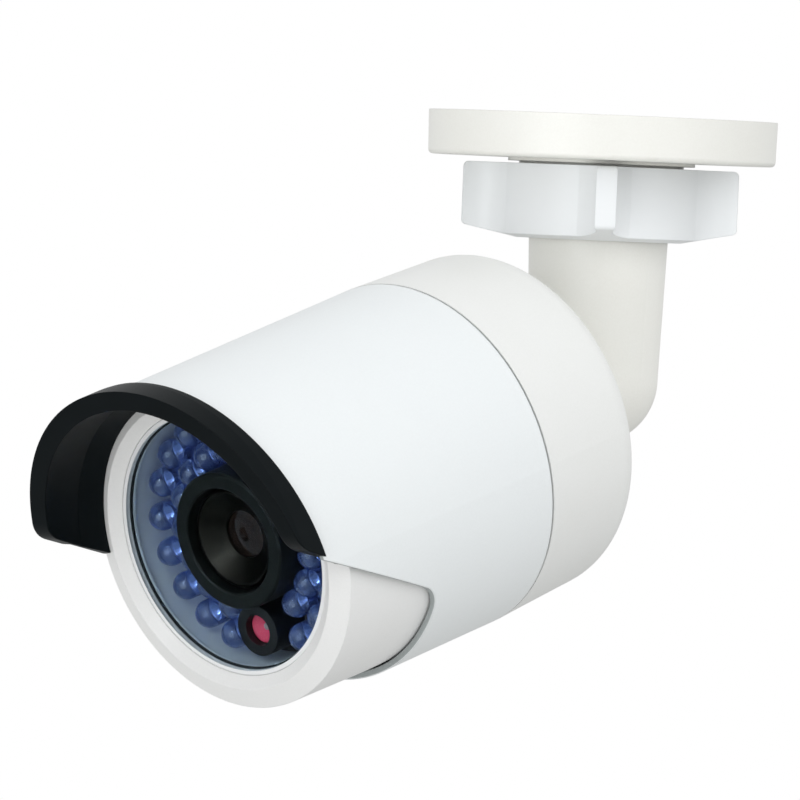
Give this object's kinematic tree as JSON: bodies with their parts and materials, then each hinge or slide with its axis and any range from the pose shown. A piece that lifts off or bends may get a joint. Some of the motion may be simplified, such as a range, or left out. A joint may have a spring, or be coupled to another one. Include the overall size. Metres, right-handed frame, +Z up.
{
  "type": "security camera",
  "caption": "Compact bullet camera with a black visor, infrared lights and a jointed ceiling bracket that pans, tilts and rolls.",
  "frame": {"origin": "centre of the bracket plate's mounting face", "axes": "+Z up into the ceiling, along the pan axis; the camera looks towards -Y and 17.9 degrees down; X is the tilt axis"},
  "size_m": [0.0612, 0.1417, 0.0994],
  "materials": {
    "bracket_paint": "satin cream powder coat",
    "nut_plastic": "satin cool white",
    "cap_paint": "satin white paint",
    "shield_paint": "satin white paint",
    "housing_paint": "satin white paint",
    "visor_plastic": "satin black",
    "black_rubber": "matt",
    "washer_nylon": "natural nylon",
    "friction_disc": "matt black",
    "steel": "zinc plated",
    "brass_pillar": "machined",
    "window_pane": "clear, coated",
    "shroud_foam": "dense black foam",
    "led_resin": "water clear with a blue cast",
    "sensor_black": "matt black",
    "sensor_red": "glossy red resin",
    "lens_black": "black anodised",
    "lens_glass": "coated, polished",
    "filter_glass": "polished",
    "holder_plastic": "matt black",
    "led_pcb": "black solder mask",
    "green_pcb": "green solder mask",
    "chip": "matt moulding",
    "sensor_chip": "glossy",
    "connector_plastic": "natural nylon"
  },
  "bodies": {
    "mount": {"base_plate": "bracket_paint", "base_grommet": "black_rubber", "pan_washer": "friction_disc"},
    "nut": {"locking_nut": "nut_plastic"},
    "arm": {"arm": "bracket_paint"},
    "tilt_clamp": {"tilt_screw": "steel"},
    "knuckle": {"knuckle": "bracket_paint", "tilt_discs": "friction_disc", "cable_gland": "black_rubber", "roll_seal": "black_rubber", "roll_washer": "washer_nylon", "roll_ring": "steel"},
    "camera": {"rear_cap": "cap_paint", "cap_seal": "black_rubber", "front_housing": "housing_paint", "sunshield": "shield_paint", "sunshield_screw": "steel", "visor": "visor_plastic", "window_glass": "window_pane", "window_gasket": "black_rubber", "lens_shroud": "shroud_foam", "led_board": "led_pcb", "led_board_parts": "chip", "infrared_leds": "led_resin", "sensor_holder": "sensor_black", "light_sensor": "sensor_red", "lens_holder": "holder_plastic", "front_pillars": "brass_pillar", "sensor_board": "green_pcb", "image_sensor": "sensor_chip", "rear_pillars": "brass_pillar", "main_board": "green_pcb", "processor": "chip", "board_connectors": "connector_plastic", "board_screws": "steel"},
    "lens": {"lens_barrel": "lens_black", "front_lens": "lens_glass", "rear_lens": "lens_glass"},
    "filter": {"filter_carriage": "holder_plastic", "infrared_filter": "filter_glass", "clear_filter": "filter_glass"}
  },
  "joints": [
    {"name": "nut_turn", "type": "hinge", "parent": "mount", "child": "nut", "pos_m": [0, 0, -0.015], "axis": [0, 0, 1], "range_deg": [0, 330]},
    {"name": "pan", "type": "hinge", "parent": "mount", "child": "arm", "pos_m": [0, 0, -0.017], "axis": [0, 0, 1], "range_deg": [-175, 175]},
    {"name": "tilt", "type": "hinge", "parent": "arm", "child": "knuckle", "pos_m": [0, 0, -0.0445], "axis": [1, 0, 0], "range_deg": [-9, 70]},
    {"name": "tilt_screw_turn", "type": "hinge", "parent": "arm", "child": "tilt_clamp", "pos_m": [0, 0, -0.0445], "axis": [-1, 0, 0], "range_deg": [0, 270]},
    {"name": "roll", "type": "hinge", "parent": "knuckle", "child": "camera", "pos_m": [0, 0, -0.0445], "axis": [0, -0.9516, -0.3074], "range_deg": [-175, 175]},
    {"name": "focus", "type": "hinge", "parent": "camera", "child": "lens", "pos_m": [0, 0, -0.0445], "axis": [0, -0.9516, -0.3074], "range_deg": [-90, 90]},
    {"name": "filter_shift", "type": "slide", "parent": "camera", "child": "filter", "axis": [-1, 0, 0], "range_m": [0, 0.0064]}
  ]
}
